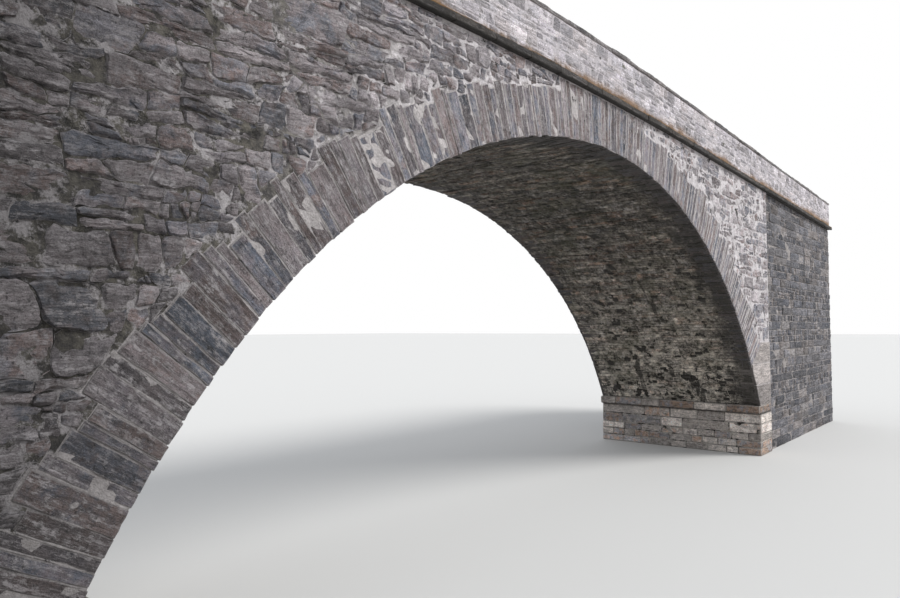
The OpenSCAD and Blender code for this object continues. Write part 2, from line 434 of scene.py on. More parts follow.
def on_arch(degrees, radius):
    """Place in X and Z at an angle from the crown and a distance from the arch's centre."""
    return radius * sine(degrees), centre_z + radius * math.cos(math.radians(degrees))


def arm(paint):
    """The way from the arch's centre, out to the place that is painted."""
    return paint.node("ShaderNodeCombineXYZ", {}, {0: paint.axis("X"), 2: paint.axis("Z") - centre_z})


def polar(paint):
    """Place on the arch: along the soffit, across the bridge, and out from the arch's centre."""
    out = paint.node("ShaderNodeVectorMath", {"operation": "LENGTH"}, {0: arm(paint)}, "Value")
    turn = paint.axis("X").math("ARCTAN2", paint.axis("X"), paint.axis("Z") - centre_z)
    return paint.node("ShaderNodeCombineXYZ", {}, {0: turn * soffit_r, 1: paint.axis("Y"), 2: out})


def along_slabs(paint):
    """The same place turned so that a slab's beds run along it."""
    place = polar(paint)
    return paint.node("ShaderNodeCombineXYZ", {}, {
        0: paint.axis("Z", place), 1: paint.axis("Y", place), 2: paint.axis("X", place)})


def painted_under_shade(paint, where, colour, damp_and_shade):
    """Painted shade: the slabs' undersides, and all that lies back from the face, are painted as dark
    as the vault.
    """
    way = paint.node("ShaderNodeVectorMath", {"operation": "NORMALIZE"}, {0: arm(paint)})
    normal = paint.node("ShaderNodeNewGeometry", {}, {}, "Normal")
    outward = paint.node("ShaderNodeVectorMath", {"operation": "DOT_PRODUCT"}, {0: way, 1: normal},
                         "Value")
    # Painted shade on what lies more than a few centimetres back from the face.
    inside = paint.step(abs(paint.axis("Y")), face_y - 0.01, face_y - 0.05)
    return colour, damp_and_shade.most(paint.step(outward, -0.35, -0.7) * 0.75).most(inside * 0.75)


def coat(bm, name, slot, material, shift, low, high, side_y, spot):
    """Lays a coat of mortar of uneven thickness on a wall, with its rim pressed into the wall.
    spot turns a place on the flat sheet into X and Z."""
    rim = {v for v in bm.verts if v.is_boundary}
    for v in bm.verts:
        p = v.co + Vector((shift, 0, shift))
        swell = noise.noise(p * 7.0) * 0.55 + noise.noise(p * 17.0) * 0.45
        thick = -0.02 if v in rim else (low + high) / 2 + (high - low) * swell
        x, z = spot(v.co.x, v.co.y)
        v.co = Vector((x, side_y * (face_y + thick), min(z, string_bed(x) - 0.01)))
    for f in bm.faces:
        f.smooth = True
    keep(bm, name, slot, material, out=Vector((0, side_y, 0)))


def sheet_grid(low, high, cell):
    """A flat grid of cells of about that size between two corners."""
    bm = new_stones()
    wide, tall = high[0] - low[0], high[1] - low[1]
    bmesh.ops.create_grid(bm, x_segments=round(wide / cell), y_segments=round(tall / cell), size=0.5)
    bmesh.ops.scale(bm, vec=(wide, tall, 1.0), verts=bm.verts)
    bmesh.ops.translate(bm, vec=((low[0] + high[0]) / 2, (low[1] + high[1]) / 2, 0), verts=bm.verts)
    return bm


ring_mortar_colour = (0.62, 0.585, 0.59)
ring_stone = stone_paint("ring_stone", [
    (0.16, 0.18, 0.23), (0.24, 0.215, 0.24), (0.31, 0.275, 0.29), (0.27, 0.23, 0.24),
    (0.22, 0.17, 0.165), (0.29, 0.265, 0.30), (0.19, 0.205, 0.255), (0.28, 0.22, 0.215)],
    ring_mortar_colour, lichen=0.9, damp=0.15, left=0.78, place=along_slabs, marks=painted_under_shade)
ring_mortar = mortar_paint("ring_mortar", ring_mortar_colour, 0.15, left=0.72, marks=painted_under_shade)
finish_nodes(ring_mortar, "ring", "springer")
least_rubble = 0.22
springer_slabs = 3
coat_cell = {"front": 0.045, "back": 0.08}
# Narrowest and widest joint, and how far its rib of mortar stands out, in each stretch.
ribs = {"left": (0.010, 0.022, 0.000), "crown": (0.016, 0.026, 0.007), "right": (0.024, 0.036, 0.010)}


def to_string(middle, deep):
    """Depth of a slab: near the crown it reaches the string course, where no rubble would fit."""
    bed = string_bed(on_arch(middle, soffit_r + deep)[0]) - 0.008
    reach = (bed - centre_z) / math.cos(math.radians(middle)) - soffit_r
    return reach if reach - deep < least_rubble else deep


def set_on_edge(degrees):
    """What moves a block from the crown to its place in the ring, and tapers it to the centre."""
    turn = Matrix.Rotation(math.radians(degrees), 4, "Y")

    def shape(co):
        p = turn @ Vector((co.x * co.z / soffit_r, co.y, co.z))
        return Vector((p.x, p.y, p.z + centre_z))

    return shape


slabs = {}
for face in ("front", "back"):
    slabs[face] = []
    for part, start, end, deep in ring_slabs(face):
        slabs[face].append((part, start, end, to_string((start + end) / 2, deep)))
    turn = springer_turn["left"] / springer_slabs
    for i in range(springer_slabs):
        slabs[face].append(("left", turn * i - spring_a, turn * (i + 1) - spring_a, 1.0 + 0.06 * i))
for face, side_y in (("front", -1), ("back", 1)):
    rng = random.Random(21 if face == "front" else 22)
    for part in ("left", "crown", "right"):
        bm = new_stones()
        cell = 0.11 if face == "front" and part == "left" else 0.25
        for _, start, end, deep in [slab for slab in slabs[face] if slab[0] == part]:
            wide = math.radians(end - start) * soffit_r - rng.uniform(*ribs[part][:2]) * 0.7
            y0, y1 = sorted((side_y * (face_y - rng.uniform(0.25, 0.5)),
                             side_y * (face_y + rng.uniform(0.002, 0.014))))
            low = (-wide / 2, y0, soffit_r - rng.uniform(0.004, 0.022))
            high = (wide / 2, y1, soffit_r + deep - rng.uniform(0.0, 0.02))
            block(bm, rng, low, high, set_on_edge((start + end) / 2), cell, 0.007, 0.011)
        keep(bm, f"ring_stones_{face}_{part}", "ring_stone", ring_stone)

    foot = math.radians(spring_a - 1.0) * soffit_r
    head = math.radians(spring_a - springer_turn["right"]) * soffit_r
    bm = sheet_grid((-foot, 0.01), (head, 0.77), coat_cell[face])
    coat(bm, f"ring_mortar_{face}", "ring_stone", ring_mortar, 3.0, -0.030, -0.014, side_y,
         lambda x, y: on_arch(math.degrees(x / soffit_r), soffit_r + y))

    bm = new_stones()
    row = sorted(slabs[face], key=lambda slab: slab[1])
    for (part, _, end, deep), (_, _, _, next_deep) in zip(row, row[1:]):
        half = rng.uniform(*ribs[part][:2]) / 2
        out_y = face_y + ribs[part][2] + rng.uniform(0.0, 0.008)
        y0, y1 = sorted((side_y * (face_y - 0.05), side_y * out_y))
        top = soffit_r + min(deep, next_deep) - 0.01
        block(bm, rng, (-half, y0, soffit_r + 0.01), (half, y1, top), set_on_edge(end),
              0.22, 0.006, 0.010)
    keep(bm, f"ring_ribs_{face}", "ring_stone", ring_mortar)

smooth_stone = stone_paint("springer_stone", [
    (0.44, 0.40, 0.39), (0.50, 0.455, 0.44), (0.40, 0.365, 0.36)],
    ring_mortar_colour, lichen=0.3, damp=0.1, marks=painted_under_shade)
top_a = spring_a - springer_turn["right"]
springer_bed_z = on_arch(top_a, soffit_r + haunch_t["right"])[1]
springer_rows = 3


def to_soffit(co):
    """Brings a block's inner end to the soffit, and keeps it behind the bed of the lowest slab."""
    reach = math.sqrt(soffit_r ** 2 - (co.z - centre_z) ** 2) - 0.010
    limit = (co.z - centre_z) * math.tan(math.radians(top_a))
    x = reach + (joint_x - 0.006 - reach) * co.x
    return Vector((max(x, limit), side_y * co.y, co.z))


bm = new_stones()
rng = random.Random(31)
for side_y in (-1, 1):
    for row in range(springer_rows):
        bottom = spring_z + (springer_bed_z - spring_z) * row / springer_rows
        top = spring_z + (springer_bed_z - spring_z) * (row + 1) / springer_rows
        block(bm, rng, (0.0, face_y - 0.4, bottom + 0.003), (1.0, face_y + 0.02, top - 0.003),
              to_soffit, 0.2, 0.012, 0.005)
keep(bm, "springer_stones", "ring_stone", smooth_stone)


# The vault is laid in courses of long thin slabs across the bridge, rough on their undersides,
# with black damp stains and patches of algae. Holes where a slab has fallen out are flat stones painted
# black, as painted shade.
def cut(bm, face, point, normal):
    """Splits one face of a sheet by a plane: the part behind the plane, then the part before it."""
    made = bmesh.ops.bisect_plane(bm, geom=[face, *face.edges, *face.verts], dist=0.0005,
                                  plane_co=point, plane_no=normal)
    parts = [g for g in made["geom"] if isinstance(g, bmesh.types.BMFace)]
    parts.sort(key=lambda f: (f.calc_center_median() - Vector(point)).dot(Vector(normal)))
    return parts[0], parts[-1]


def by_place(faces):
    """The faces of a flat sheet row by row, so that random numbers always fall to the same stones."""
    spots = {f: f.calc_center_bounds() for f in faces}
    return sorted(spots, key=lambda f: (round(spots[f].y, 3), round(spots[f].x, 3)))


def lay(rng, length, height, rows, lengths, tilt, split):
    """A flat sheet of that length and height, cut into courses, and those into stones, of which
    a share is split again into a lower and an upper one."""
    bm = new_stones()
    corners = ((0, 0), (length, 0), (length, height), (0, height))
    rest = bm.faces.new([bm.verts.new((x, y, 0)) for x, y in corners])
    beds = []
    y = rng.uniform(*rows)
    while y < height - rows[0] * 0.7:
        slope = rng.uniform(-0.2, 0.2) * tilt * min(1, 4 / length)
        low, rest = cut(bm, rest, (length / 2, y, 0), (slope, 1, 0))
        beds.append(low)
        y += rng.uniform(*rows)
    for bed in beds + [rest]:
        x = rng.uniform(*lengths) * rng.uniform(0.3, 1.0)
        while x < length - lengths[0] * 0.7:
            middle = bed.calc_center_median().y
            stone, bed = cut(bm, bed, (x, middle, 0), (1, rng.uniform(-2.0, 2.0) * tilt, 0))
            if rng.random() < split:
                middle = stone.calc_center_bounds()
                middle.y += rng.uniform(-0.12, 0.12) * rows[0]
                for half in cut(bm, stone, middle, (rng.uniform(-1.0, 1.0) * tilt, 1, 0)):
                    side = half.calc_center_bounds()
                    side.x += rng.uniform(-0.3, 0.3) * lengths[0]
                    if rng.random() < 0.4:
                        cut(bm, half, side, (1, rng.uniform(-3.0, 3.0) * tilt, 0))
            x += rng.uniform(*lengths)
    return bm


def open_joints(bm, joint):
    """Opens the joints of a sheet, so that each stone lies by itself."""
    stones = bm.faces[:]
    bmesh.ops.inset_individual(bm, faces=stones, thickness=joint / 2, use_even_offset=False)
    chosen = set(stones)
    bmesh.ops.delete(bm, geom=[f for f in bm.faces if f not in chosen], context="FACES")
    bmesh.ops.dissolve_limit(bm, angle_limit=math.radians(8), verts=bm.verts, edges=bm.edges)


def wear_corners(bm, share):
    """Rounds the corners of loose flat stones."""
    bmesh.ops.bevel(bm, geom=bm.verts[:], offset=share, offset_type="PERCENT", segments=1,
                    affect="VERTICES", profile=0.5, material=-1)


hole_tone = 2.0
foot_z = -0.002


def raise_stones(bm, rng, proud, edge, rough, cell=0.0, deep=0.02, rings=2):
    """Turns each loose face of a sheet into a closed stone that is domed along +Z. A face that is
    marked as a hole stays flat, and its tone has full blue."""
    if cell:
        split_long_edges(bm, cell, 4, False)
    tone = bm.faces.layers.float_color["tone"]
    near = bm.verts.layers.float["edge"]
    for f in by_place(bm.faces):
        f[tone] = (rng.random(), rng.random(), 1.0 if f[tone][2] == hole_tone else 0.0, 1.0)
    for v in bm.verts:
        v.co.z = -deep
        v[near] = 1.0
    made = bmesh.ops.extrude_face_region(bm, geom=bm.faces[:], use_keep_orig=True)
    fronts = [g for g in made["geom"] if isinstance(g, bmesh.types.BMFace)]
    for v in {v for f in fronts for v in f.verts}:
        v.co.z = foot_z
    bmesh.ops.inset_individual(bm, faces=fronts, thickness=edge, use_even_offset=False)
    outs = {}
    for f in by_place(fronts):
        out = 0.006 if f[tone][2] else rng.uniform(*proud)
        outs[f] = (out, Vector((rng.uniform(-3.0, 3.0), rng.uniform(-6.0, 6.0), 0)) * rough)
        centre = f.calc_center_median()
        for v in f.verts:
            v.co.z = out * 0.65 + outs[f][1].dot(v.co - centre)
            v[near] = 0.5
    for _ in range(rings - 1):
        bmesh.ops.inset_individual(bm, faces=fronts, thickness=0.001)
        for f in fronts:
            centre = f.calc_center_median()
            for v in f.verts:
                v.co = centre.lerp(v.co, 0.66)
                v.co.z = outs[f][0] + outs[f][1].dot(v.co - centre)
                v[near] = 0.0
    for v in bmesh.ops.poke(bm, faces=fronts)["verts"]:
        v[near] = 0.0
    roughen([v for v in bm.verts if v.co.z > foot_z - 0.001], rng, 6.0, 19.0, rough)
    for f in bm.faces:
        f.smooth = True


def warp(bm, amount, size, shift=0.0):
    """Bends the courses of a flat sheet, as stones of uneven height do."""
    for v in bm.verts:
        move = noise.noise_vector(Vector((v.co.x / size + shift, v.co.y / size, shift)))
        v.co.x += move.x * amount
        v.co.y += move.y * amount


def hold_inside(bm, x0, x1, y0, y1=math.inf):
    """Brings the points of a warped sheet back inside its edges."""
    for v in bm.verts:
        v.co.x = min(max(v.co.x, x0), x1)
        v.co.y = min(max(v.co.y, y0), y1)


def vault_marks(paint, where, colour, damp_and_shade):
    """Black stains down the haunches, a black band along the front, and algae; holes and blots painted
    black as painted shade, and low haunches painted lighter as painted light.
    """
    low = paint.step(paint.axis("Z"), spring_z + 4.6, spring_z + 1.0)
    side = (paint.noise(1.4, 6.0, 0.75) - 0.5) * 2.4 - paint.axis("Y")
    rim = paint.step(side, face_y - 0.8, face_y - 0.3) * 0.92
    # Painted light: towards the springings the vault is painted paler and up to twice as bright as at
    # the crown.
    colour = paint.shade(paint.mix(low * 0.6, colour, (0.33, 0.305, 0.27)), low * 0.8 + 0.8)
    mottled = paint.noise(4.6, 8.0, 0.85, paint.stretched(where, 1.2, 0.8, 1.0))
    colour = paint.shade(colour, paint.step(mottled, 0.42, 0.60) * 2.0 + 0.15)
    algae = paint.step(paint.noise(0.8, 6.0, 0.7), 0.50, 0.64) * 0.5
    colour = paint.mix(algae, colour, (0.10, 0.105, 0.065))
    runs = paint.noise(1.3, 7.0, 0.75, paint.stretched(where, 0.5, 1.5, 1.0))
    stained = paint.step(runs + low * 0.05, 0.61, 0.65) * 0.9
    # Painted shade: black blots that stand for holes, besides the flat holes that the tone marks.
    blots = paint.step(paint.noise(3.2, 4.0, 0.6) + low * 0.05, 0.625, 0.645) * 0.97
    return colour, damp_and_shade.most(stained.most(blots)).most(rim).most(paint.tone(2))


# Painted shade, with the stones' own dark colour: the vault's palette and mortar are kept dark.
vault_stone = stone_paint("vault_stone", [
    (0.10, 0.092, 0.08), (0.165, 0.15, 0.13), (0.22, 0.205, 0.18), (0.145, 0.145, 0.14),
    (0.19, 0.17, 0.145), (0.27, 0.255, 0.23), (0.19, 0.12, 0.085), (0.175, 0.17, 0.16)],
    (0.26, 0.24, 0.21), lichen=0.5, damp=0.3, place=polar, marks=vault_marks)
vault_mortar = mortar_paint("vault_mortar", (0.20, 0.185, 0.16), 0.7, marks=vault_marks)
finish_nodes(vault_mortar, "barrel")
vault_y = face_y - 0.05
arc = 2 * math.radians(spring_a) * soffit_r
hole_level = 0.58
rng = random.Random(41)
bm = lay(rng, 2 * vault_y, arc, (0.07, 0.16), (0.3, 0.95), 0.15, 0.06)
warp(bm, 0.03, 0.6)
hold_inside(bm, 0.0, 2 * vault_y, 0.0, arc)
tone = bm.faces.layers.float_color["tone"]
for f in by_place(bm.faces):
    spot = f.calc_center_bounds()
    low = max(0.0, abs(spot.y / arc - 0.5) * 2 - 0.25)
    gap = noise.noise(Vector((spot.x * 1.9, spot.y * 2.6, 5.0))) + rng.uniform(-0.25, 0.25)
    if gap > hole_level - low * 0.45:
        spot.x += rng.uniform(-0.1, 0.1)
        hole = cut(bm, f, spot, (1, rng.uniform(-0.3, 0.3), 0))[0]
        spot.x -= rng.uniform(0.12, 0.28)
        hole = cut(bm, hole, spot, (1, rng.uniform(-0.3, 0.3), 0))[1]
        # The hole stays flat; the vault's paint turns it black, as painted shade.
        hole[tone] = (0.0, 0.0, hole_tone, 1.0)
open_joints(bm, 0.014)
wear_corners(bm, 9)
raise_stones(bm, rng, (0.010, 0.030), 0.008, 0.008, deep=0.01, rings=1)
for v in bm.verts:
    angle = math.degrees(v.co.y / soffit_r) - spring_a
    x, z = on_arch(angle, soffit_r - v.co.z)
    v.co = Vector((x, v.co.x - vault_y, z))
keep(bm, "vault_stones", "vault_stone", vault_stone)


# The spandrels are walls of random rubble brought to courses: long flat slabs, many of them
# split, fitted by hand to the ragged backs of the ring. Lime mortar fills what is left.
def trim(bm, stone, point, normal):
    """Cuts a loose stone by a plane, and gives what is left of it behind the plane."""
    made = bmesh.ops.bisect_plane(bm, geom=[stone, *stone.edges, *stone.verts], dist=0.0005,
                                  plane_co=point, plane_no=normal, clear_outer=True)
    left = [g for g in made["geom"] if isinstance(g, bmesh.types.BMFace) and g.is_valid]
    return left[0] if left else None


def slab_sides(start, end, deep, joint):
    """The three planes that bound a slab of the ring, each as a point and the way into the slab."""
    sides = []
    planes = ((start, soffit_r, 90.0), (end, soffit_r, -90.0),
              ((start + end) / 2, soffit_r + deep, 180.0))
    for turn, radius, way in planes:
        x, z = on_arch(turn, radius)
        into = Vector((sine(turn + way), math.cos(math.radians(turn + way)), 0))
        sides.append((Vector((x, z, 0)) - into * joint, into))
    return sides


smallest_cut = 0.0005
thinnest = 0.05


def fit_to_ring(bm, face, joint):
    """Cuts the stones of a wall back to the slabs' backs and to the string course's bed. Each
    is cut along whichever side of a slab costs it least, and a sliver is left out."""
    for stone in bm.faces[:]:
        middle = stone.calc_center_median()
        turn = math.degrees(math.atan2(middle.x, middle.y - centre_z))
        spread = 3.0 + 40.0 * max(e.calc_length() for e in stone.edges) / soffit_r
        for _, start, end, deep in slabs[face]:
            if stone and start - spread < turn < end + spread:
                sides = slab_sides(start, end, deep, joint)
                costs = [max((v.co - point).dot(into) for v in stone.verts) for point, into in sides]
                cost, side = min(zip(costs, range(3)))
                if cost > smallest_cut:
                    stone = trim(bm, stone, *sides[side])
        if stone:
            slope = fall(middle.x + 0.01) - fall(middle.x)
            top = Vector((middle.x, string_bed(middle.x) - 0.006, 0))
            stone = trim(bm, stone, top, Vector((slope * 100, 1, 0)).normalized())
        if stone:
            xs = [v.co.x for v in stone.verts]
            zs = [v.co.y for v in stone.verts]
            if stone.calc_area() / max(max(xs) - min(xs), max(zs) - min(zs)) < thinnest:
                bmesh.ops.delete(bm, geom=[stone], context="FACES")


def stand(bm, plane_y, side_y):
    """Turns a flat sheet upright on a wall that faces the front or the back."""
    for v in bm.verts:
        v.co = Vector((v.co.x, plane_y + side_y * v.co.z, v.co.y))


def dark_joints(paint, where, colour, damp_and_shade):
    """Where the wall stays damp its joints have weathered out, dark with moss."""
    damp = paint.step(paint.axis("X"), -4.0, -7.5)
    worn = paint.step(paint.noise(3.0, 6.0, 0.75), 0.44, 0.51) * damp
    patchy = paint.step(paint.noise(9.0, 6.0, 0.8), 0.42, 0.60)
    mossy = paint.mix(patchy, (0.012, 0.010, 0.008), (0.19, 0.175, 0.14))
    return paint.mix(worn * 0.92, colour, mossy), damp_and_shade


rubble_mortar_colour = (0.74, 0.705, 0.73)
rubble_stone = stone_paint("rubble_stone", [
    (0.20, 0.215, 0.265), (0.38, 0.345, 0.375), (0.50, 0.46, 0.485), (0.31, 0.275, 0.29),
    (0.28, 0.295, 0.35), (0.39, 0.34, 0.355), (0.49, 0.45, 0.475), (0.36, 0.275, 0.265),
    (0.36, 0.35, 0.395)], rubble_mortar_colour, lichen=0.85, damp=0.15, left=0.80)
rubble_mortar = mortar_paint("rubble_mortar", rubble_mortar_colour, 0.35, left=0.82, marks=dark_joints)
finish_nodes(rubble_mortar, "spandrel")
wall_x = joint_x - 0.006
# Ends, heights of the courses, lengths of the stones, the share that is split, the joint, how far
# stones stand out, their roughness, and the middle of the coat's thickness.
walls = {"left": (-wall_x, 0.0, (0.18, 0.34), (0.30, 0.90), 0.65, 0.014, (0.006, 0.030), 0.026, -0.016),
         "right": (0.0, wall_x, (0.20, 0.38), (0.35, 0.85), 0.45, 0.028, (0.000, 0.016), 0.014, 0.001)}
coat_spread = 0.012
# Measured out from the soffit: where stones would lie in the ring, and where they are cut
# small to fill its steps.
in_ring = 0.5
small_to = 1.15
halved_to = 1.35
seed = 50
for face, side_y in (("front", -1), ("back", 1)):
    for side, (x0, x1, rows, lengths, split, joint, proud, rough, coat_mid) in walls.items():
        seed += 1
        rng = random.Random(seed)
        bed_z = spring_z if side == "left" else springer_bed_z
        bm = lay(rng, wall_x, string_z - bed_z, rows, lengths, 0.22, split)
        for v in bm.verts:
            v.co += Vector((x0, bed_z, 0))
        warp(bm, 0.075, 0.45, seed)
        hold_inside(bm, x0, x1, bed_z)
        for stone in by_place(bm.faces):
            middle = stone.calc_center_bounds()
            out = math.hypot(middle.x, middle.y - centre_z) - soffit_r
            if out < in_ring:
                bmesh.ops.delete(bm, geom=[stone], context="FACES")
            elif out < halved_to:
                middle.x += rng.uniform(-0.08, 0.08)
                for half in cut(bm, stone, middle, (1, rng.uniform(-0.2, 0.2), 0)):
                    middle = half.calc_center_bounds()
                    if out < small_to and max(abs(v.co.x - middle.x) for v in half.verts) > 0.16:
                        cut(bm, half, middle, (1, rng.uniform(-0.3, 0.3), 0))
        open_joints(bm, joint)
        fit_to_ring(bm, face, joint * 0.5)
        wear_corners(bm, 12)
        raise_stones(bm, rng, proud, 0.014, rough, 0.07, 0.03, 3 if face == "front" else 2)
        stand(bm, side_y * face_y, side_y)
        keep(bm, f"spandrel_stones_{face}_{side}", "rubble_stone", rubble_stone)

        bm = sheet_grid((x0, bed_z), (x1, string_z), coat_cell[face])
        outside = []
        for f in bm.faces:
            spot = f.calc_center_median()
            if math.hypot(spot.x, spot.y - centre_z) < soffit_r + 0.7 or spot.y > string_bed(spot.x):
                outside.append(f)
        bmesh.ops.delete(bm, geom=outside, context="FACES")
        coat(bm, f"spandrel_mortar_{face}_{side}", "rubble_stone", rubble_mortar, seed,
             coat_mid - coat_spread, coat_mid + coat_spread, side_y, lambda x, y: (x, y))


# Beyond the straight joint the wing walls are of squared stone in level courses, set back
# a little from the face, and they run down to the level of the rock. Cross walls close the ends.
# Their stones are painted dark, partly as painted shade.
wing_mortar_colour = (0.42, 0.39, 0.385)
# Painted shade, with the stone's own colour: the wing stones and mortar are darker than the spandrels'.
wing_stone = stone_paint("wing_stone", [
    (0.06, 0.066, 0.085), (0.12, 0.12, 0.134), (0.20, 0.193, 0.207), (0.10, 0.106, 0.128),
    (0.18, 0.158, 0.152), (0.26, 0.247, 0.253)], wing_mortar_colour, lichen=0.35, damp=0.25)
wing_mortar = mortar_paint("wing_mortar", wing_mortar_colour, 0.4)
finish_nodes(wing_mortar, "wing", "end_wall", "fill")
# Heights of the courses, lengths of the stones, tilt, and the share that is split.
squared = ((0.18, 0.30), (0.5, 1.2), 0.03, 0.08)
squared_joint = 0.014
rim_gap = 0.004
smallest_stone = 0.008
wing_l = half_l - joint_x
for face, side_y in (("front", -1), ("back", 1)):
    for side, mirror in (("left", -1), ("right", 1)):
        seed += 1
        rng = random.Random(seed)
        low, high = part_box(f"wing_{face}_{side}")
        plane_y = low.y if face == "front" else high.y
        bm = lay(rng, wing_l, string_z, *squared)
        warp(bm, 0.012, 0.7, seed)
        rims = ((Vector((0, string_bed(joint_x) - rim_gap, 0)), Vector((grade, 1, 0))),
                (Vector((rim_gap, 0, 0)), Vector((-1, 0, 0))),
                (Vector((wing_l, 0, 0)), Vector((1, 0, 0))),
                (Vector((0, rim_gap, 0)), Vector((0, -1, 0))))
        for point, normal in rims:
            geom = bm.verts[:] + bm.edges[:] + bm.faces[:]
            bmesh.ops.bisect_plane(bm, geom=geom, plane_co=point, plane_no=normal, clear_outer=True)
        slivers = [f for f in bm.faces if f.calc_area() < smallest_stone]
        bmesh.ops.delete(bm, geom=slivers, context="FACES")
        open_joints(bm, squared_joint)
        wear_corners(bm, 5)
        raise_stones(bm, rng, (0.006, 0.028), 0.010, 0.012, 0.20 if face == "front" else 0.0)
        bmesh.ops.scale(bm, vec=(mirror, 1, 1), verts=bm.verts)
        bmesh.ops.translate(bm, vec=(mirror * joint_x, 0, 0), verts=bm.verts)
        stand(bm, plane_y, side_y)
        keep(bm, f"wing_stones_{face}_{side}", "wing_stone", wing_stone)
wing_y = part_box("wing_back_right")[1].y
for side, mirror in (("left", -1), ("right", 1)):
    seed += 1
    rng = random.Random(seed)
    bm = lay(rng, 2 * wing_y, string_bed(half_l) - rim_gap, *squared)
    open_joints(bm, squared_joint)
    wear_corners(bm, 5)
    raise_stones(bm, rng, (0.004, 0.016), 0.010, 0.010)
    for v in bm.verts:
        v.co = Vector((mirror * (half_l + v.co.z), mirror * (v.co.x - wing_y), v.co.y))
    keep(bm, f"end_stones_{side}", "wing_stone", wing_stone)


# The string course is a row of long slabs that stands out under the parapet and throws the
# rain clear. Its underside is painted black, partly with damp and partly as painted shade, and orange
# moss grows along its upper edge.
string_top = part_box("string_front_right")[1].z


def above_string(paint):
    """Height over the string course's upper edge, which falls with the road."""
    far = abs(paint.axis("X"))
    near = far.math("MINIMUM", far, crest_l)
    return paint.axis("Z") - string_top + (near * near * (0.5 / crest_l) + far - near) * grade


def moss_foot(paint, where, colour, damp_and_shade):
    """Orange moss at the foot of the parapet and along the edge of the slabs under it."""
    height = above_string(paint)
    patch = paint.noise(0.55, 4.0, 0.6) * 1.3 + paint.noise(3.4, 7.0, 0.8) * 0.9
    tall = paint.step(height, 0.36, 0.05) * paint.step(height, -0.05, -0.02)
    moss = paint.step(patch + tall * 0.6, 1.40, 1.66)
    orange = paint.mix(paint.noise(8.0, 6.0, 0.8), (0.13, 0.095, 0.03), (0.42, 0.20, 0.07))
    return paint.mix(moss * tall * 0.9, colour, orange), damp_and_shade


def string_marks(paint, where, colour, damp_and_shade):
    """Moss on the upper edge, and an underside painted black, partly with damp and partly as painted
    shade.
    """
    colour, damp_and_shade = moss_foot(paint, where, colour, damp_and_shade)
    # Painted shade with damp: faces that look down are painted near black.
    under = paint.step(paint.facing("Z"), -0.1, -0.6)
    return colour, (damp_and_shade * 0.8).most(under * 0.97)


string_stone = stone_paint("string_stone", [
    (0.035, 0.031, 0.028), (0.06, 0.052, 0.047), (0.05, 0.047, 0.048), (0.08, 0.067, 0.06)],
    (0.13, 0.118, 0.11), lichen=0.15, damp=0.5, left=0.3, marks=string_marks)


def slab_row(rng, kind, face, material, bed_z, lengths, gap, uneven_by):
    """A row of slabs from end to end of the bridge, laid to the fall of the road."""
    low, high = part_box(f"{kind}_{face}_right")
    bm = new_stones()
    x = -half_l
    while x < half_l:
        x1 = x + rng.uniform(*lengths)
        if half_l - x1 < lengths[0] * 0.6:
            x1 = half_l
        y0 = low.y + rng.uniform(0.0, uneven_by)
        y1 = high.y - rng.uniform(0.0, uneven_by)
        block(bm, rng, (x + gap / 2, y0, bed_z + 0.002),
              (x1 - gap / 2, y1, high.z - rng.uniform(0.0, uneven_by)),
              lambda co: Vector((co.x, co.y, co.z - fall(co.x))), 0.2, 0.014, 0.012)
        x = x1
    keep(bm, f"{kind}_slabs_{face}", f"{kind}_stone", material,
         f"{kind}_{face}_left", f"{kind}_{face}_right")


for face in ("front", "back"):
    seed += 1
    slab_row(random.Random(seed), "string", face, string_stone, string_z, (0.55, 1.25), 0.008, 0.012)


# The parapets are of finer rubble than the walls, pale with lichen, in joints that are nearly
# flush. Both their faces show, and so do their ends.
def parapet_marks(paint, where, colour, damp_and_shade):
    """Small green tufts in the joints, and pale specks of lichen all over."""
    colour, damp_and_shade = moss_foot(paint, where, colour, damp_and_shade)
    specks = paint.step(paint.noise(24.0, 4.0, 0.7), 0.60, 0.66) * 0.4
    colour = paint.mix(specks, colour, (0.50, 0.48, 0.48))
    tufts = paint.step(paint.noise(5.5, 5.0, 0.7), 0.66, 0.71) * 0.85
    return paint.mix(tufts, colour, (0.10, 0.115, 0.035)), damp_and_shade


